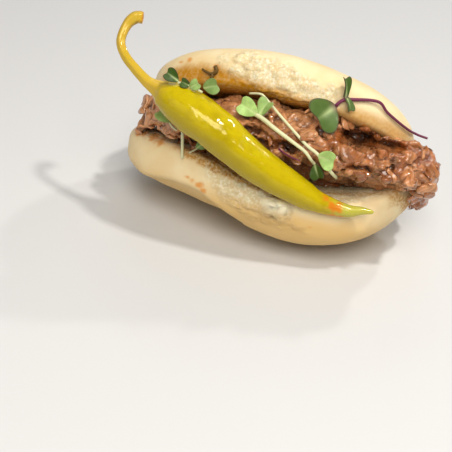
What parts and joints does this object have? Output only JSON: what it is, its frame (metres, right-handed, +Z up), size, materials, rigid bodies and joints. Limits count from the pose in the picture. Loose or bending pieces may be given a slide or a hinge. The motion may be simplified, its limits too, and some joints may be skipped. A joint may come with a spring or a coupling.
{
  "type": "beef bao bun",
  "caption": "Folded steamed bun lying on its lower flap, filled with shredded braised beef, with a long pickled pepper and cress sprigs laid over the mouth.",
  "frame": {"origin": "under the middle of the whole, on the surface it rests on", "axes": "+X along the bun, -Y out of the mouth towards the eater, +Z up"},
  "size_m": [0.1204, 0.0754, 0.0758],
  "materials": {
    "dough": "smooth pale steamed skin, torn crumb at the lips",
    "beef": "wet, stringy braised shreds in their sauce",
    "pepper": "wet waxy pickled skin",
    "greens": "thin cress leaves on pale and purple stems"
  },
  "bodies": {
    "root": {"bun": "dough", "beef_filling": "beef", "pickled_pepper": "pepper", "purple_sprig": "greens", "paired_sprig": "greens", "heart_sprig": "greens", "clustered_sprig": "greens"}
  },
  "joints": []
}
